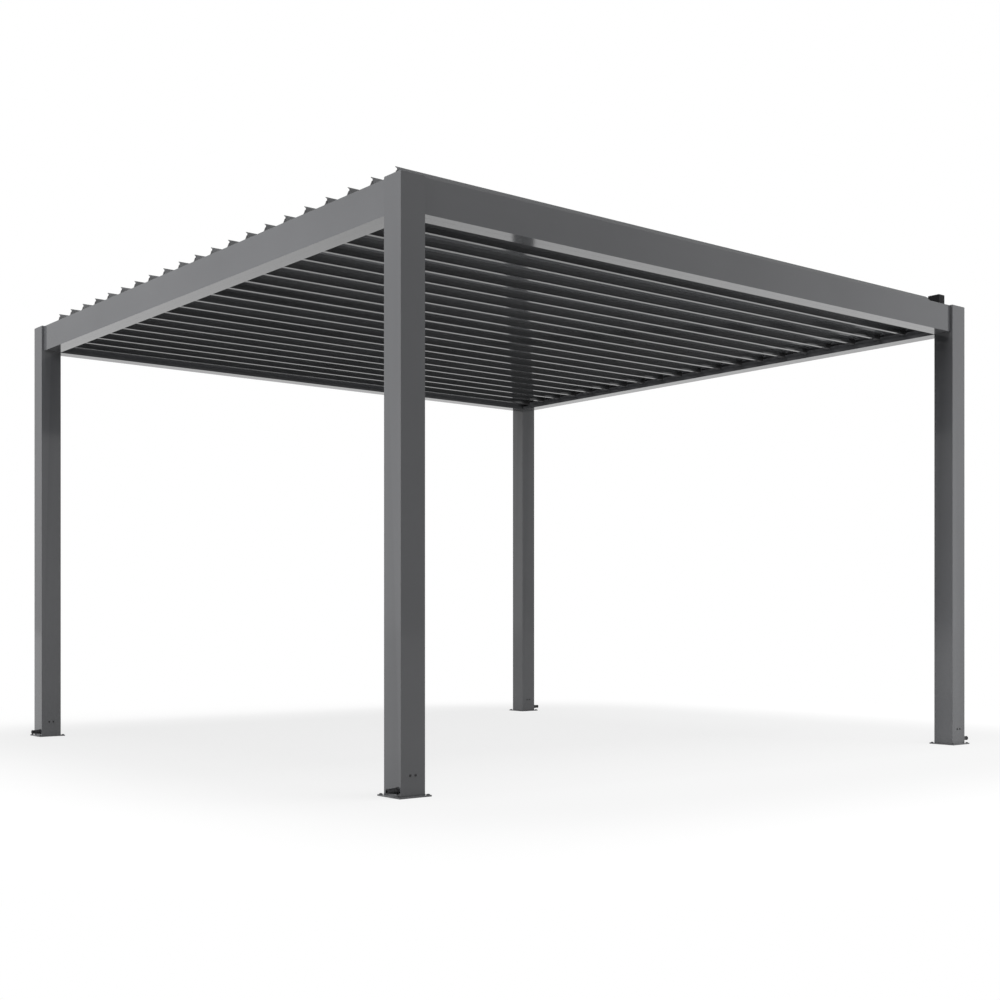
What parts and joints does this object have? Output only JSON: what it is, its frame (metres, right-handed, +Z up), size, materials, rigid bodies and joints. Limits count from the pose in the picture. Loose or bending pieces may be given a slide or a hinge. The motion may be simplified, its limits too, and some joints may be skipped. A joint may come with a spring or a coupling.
{
  "type": "louvered pergola",
  "caption": "Freestanding square garden pergola with slim posts, deep gutter beams and a roof of tilting louvre blades that turn together",
  "frame": {"origin": "middle of the ground plan, on the ground", "axes": "+Z up, +X to the right along the front beam and the blades, +Y from the front beam to the back beam"},
  "size_m": [3.732, 3.67, 2.397],
  "materials": {
    "frame_paint": "semi-gloss powder coat, anthracite",
    "blade_paint": "semi-gloss powder coat, anthracite",
    "black_paint": "satin black",
    "black_plastic": "matt black"
  },
  "bodies": {
    "frame": {"post_front_left": "frame_paint", "base_plate_front_left": "frame_paint", "drain_spout_front_left": "black_plastic", "post_front_right": "frame_paint", "base_plate_front_right": "frame_paint", "drain_spout_front_right": "black_plastic", "post_back_left": "frame_paint", "base_plate_back_left": "frame_paint", "drain_spout_back_left": "black_plastic", "post_back_right": "frame_paint", "base_plate_back_right": "frame_paint", "drain_spout_back_right": "black_plastic", "beam_front": "frame_paint", "gutter_front": "frame_paint", "beam_back": "frame_paint", "gutter_back": "frame_paint", "beam_left": "frame_paint", "gutter_left": "frame_paint", "beam_right": "frame_paint", "gutter_right": "frame_paint", "drive_housing": "black_paint"},
    "louvre_01": {"blade_01": "blade_paint"},
    "louvre_02": {"blade_02": "blade_paint"},
    "louvre_03": {"blade_03": "blade_paint"},
    "louvre_04": {"blade_04": "blade_paint"},
    "louvre_05": {"blade_05": "blade_paint"},
    "louvre_06": {"blade_06": "blade_paint"},
    "louvre_07": {"blade_07": "blade_paint"},
    "louvre_08": {"blade_08": "blade_paint"},
    "louvre_09": {"blade_09": "blade_paint"},
    "louvre_10": {"blade_10": "blade_paint"},
    "louvre_11": {"blade_11": "blade_paint"},
    "louvre_12": {"blade_12": "blade_paint"},
    "louvre_13": {"blade_13": "blade_paint"},
    "louvre_14": {"blade_14": "blade_paint"},
    "louvre_15": {"blade_15": "blade_paint"},
    "louvre_16": {"blade_16": "blade_paint"},
    "louvre_17": {"blade_17": "blade_paint"},
    "louvre_18": {"blade_18": "blade_paint"},
    "louvre_19": {"blade_19": "blade_paint"},
    "louvre_20": {"blade_20": "blade_paint"},
    "louvre_21": {"blade_21": "blade_paint"},
    "tie_bar_body": {"tie_bar": "black_paint"}
  },
  "joints": [
    {"name": "louvre_01_turn", "type": "hinge", "parent": "frame", "child": "louvre_01", "pos_m": [0, -1.68809, 2.26418], "axis": [1, 0, 0], "range_deg": [-75, 45]},
    {"name": "louvre_02_turn", "type": "hinge", "parent": "frame", "child": "louvre_02", "pos_m": [0, -1.52207, 2.26418], "axis": [1, 0, 0], "range_deg": [-75, 45]},
    {"name": "louvre_03_turn", "type": "hinge", "parent": "frame", "child": "louvre_03", "pos_m": [0, -1.35606, 2.26418], "axis": [1, 0, 0], "range_deg": [-75, 45]},
    {"name": "louvre_04_turn", "type": "hinge", "parent": "frame", "child": "louvre_04", "pos_m": [0, -1.19004, 2.26418], "axis": [1, 0, 0], "range_deg": [-75, 45]},
    {"name": "louvre_05_turn", "type": "hinge", "parent": "frame", "child": "louvre_05", "pos_m": [0, -1.02402, 2.26418], "axis": [1, 0, 0], "range_deg": [-75, 45]},
    {"name": "louvre_06_turn", "type": "hinge", "parent": "frame", "child": "louvre_06", "pos_m": [0, -0.858, 2.26418], "axis": [1, 0, 0], "range_deg": [-75, 45]},
    {"name": "louvre_07_turn", "type": "hinge", "parent": "frame", "child": "louvre_07", "pos_m": [0, -0.69198, 2.26418], "axis": [1, 0, 0], "range_deg": [-75, 45]},
    {"name": "louvre_08_turn", "type": "hinge", "parent": "frame", "child": "louvre_08", "pos_m": [0, -0.52596, 2.26418], "axis": [1, 0, 0], "range_deg": [-75, 45]},
    {"name": "louvre_09_turn", "type": "hinge", "parent": "frame", "child": "louvre_09", "pos_m": [0, -0.35994, 2.26418], "axis": [1, 0, 0], "range_deg": [-75, 45]},
    {"name": "louvre_10_turn", "type": "hinge", "parent": "frame", "child": "louvre_10", "pos_m": [0, -0.19392, 2.26418], "axis": [1, 0, 0], "range_deg": [-75, 45]},
    {"name": "louvre_11_turn", "type": "hinge", "parent": "frame", "child": "louvre_11", "pos_m": [0, -0.0279, 2.26418], "axis": [1, 0, 0], "range_deg": [-75, 45]},
    {"name": "louvre_12_turn", "type": "hinge", "parent": "frame", "child": "louvre_12", "pos_m": [0, 0.13812, 2.26418], "axis": [1, 0, 0], "range_deg": [-75, 45]},
    {"name": "louvre_13_turn", "type": "hinge", "parent": "frame", "child": "louvre_13", "pos_m": [0, 0.30413, 2.26418], "axis": [1, 0, 0], "range_deg": [-75, 45]},
    {"name": "louvre_14_turn", "type": "hinge", "parent": "frame", "child": "louvre_14", "pos_m": [0, 0.47015, 2.26418], "axis": [1, 0, 0], "range_deg": [-75, 45]},
    {"name": "louvre_15_turn", "type": "hinge", "parent": "frame", "child": "louvre_15", "pos_m": [0, 0.63617, 2.26418], "axis": [1, 0, 0], "range_deg": [-75, 45]},
    {"name": "louvre_16_turn", "type": "hinge", "parent": "frame", "child": "louvre_16", "pos_m": [0, 0.80219, 2.26418], "axis": [1, 0, 0], "range_deg": [-75, 45]},
    {"name": "louvre_17_turn", "type": "hinge", "parent": "frame", "child": "louvre_17", "pos_m": [0, 0.96821, 2.26418], "axis": [1, 0, 0], "range_deg": [-75, 45]},
    {"name": "louvre_18_turn", "type": "hinge", "parent": "frame", "child": "louvre_18", "pos_m": [0, 1.13423, 2.26418], "axis": [1, 0, 0], "range_deg": [-75, 45]},
    {"name": "louvre_19_turn", "type": "hinge", "parent": "frame", "child": "louvre_19", "pos_m": [0, 1.30025, 2.26418], "axis": [1, 0, 0], "range_deg": [-75, 45]},
    {"name": "louvre_20_turn", "type": "hinge", "parent": "frame", "child": "louvre_20", "pos_m": [0, 1.46627, 2.26418], "axis": [1, 0, 0], "range_deg": [-75, 45]},
    {"name": "louvre_21_turn", "type": "hinge", "parent": "frame", "child": "louvre_21", "pos_m": [0, 1.63229, 2.26418], "axis": [1, 0, 0], "range_deg": [-75, 45]},
    {"name": "tie_bar_turn", "type": "hinge", "parent": "louvre_01", "child": "tie_bar_body", "pos_m": [1.7145, -1.68522, 2.21889], "axis": [1, 0, 0], "range_deg": [-45, 75]}
  ],
  "couplings": [
    {"joint": "louvre_02_turn", "follows": "louvre_01_turn", "ratio": 1},
    {"joint": "louvre_03_turn", "follows": "louvre_01_turn", "ratio": 1},
    {"joint": "louvre_04_turn", "follows": "louvre_01_turn", "ratio": 1},
    {"joint": "louvre_05_turn", "follows": "louvre_01_turn", "ratio": 1},
    {"joint": "louvre_06_turn", "follows": "louvre_01_turn", "ratio": 1},
    {"joint": "louvre_07_turn", "follows": "louvre_01_turn", "ratio": 1},
    {"joint": "louvre_08_turn", "follows": "louvre_01_turn", "ratio": 1},
    {"joint": "louvre_09_turn", "follows": "louvre_01_turn", "ratio": 1},
    {"joint": "louvre_10_turn", "follows": "louvre_01_turn", "ratio": 1},
    {"joint": "louvre_11_turn", "follows": "louvre_01_turn", "ratio": 1},
    {"joint": "louvre_12_turn", "follows": "louvre_01_turn", "ratio": 1},
    {"joint": "louvre_13_turn", "follows": "louvre_01_turn", "ratio": 1},
    {"joint": "louvre_14_turn", "follows": "louvre_01_turn", "ratio": 1},
    {"joint": "louvre_15_turn", "follows": "louvre_01_turn", "ratio": 1},
    {"joint": "louvre_16_turn", "follows": "louvre_01_turn", "ratio": 1},
    {"joint": "louvre_17_turn", "follows": "louvre_01_turn", "ratio": 1},
    {"joint": "louvre_18_turn", "follows": "louvre_01_turn", "ratio": 1},
    {"joint": "louvre_19_turn", "follows": "louvre_01_turn", "ratio": 1},
    {"joint": "louvre_20_turn", "follows": "louvre_01_turn", "ratio": 1},
    {"joint": "louvre_21_turn", "follows": "louvre_01_turn", "ratio": 1},
    {"joint": "tie_bar_turn", "follows": "louvre_01_turn", "ratio": -1}
  ]
}
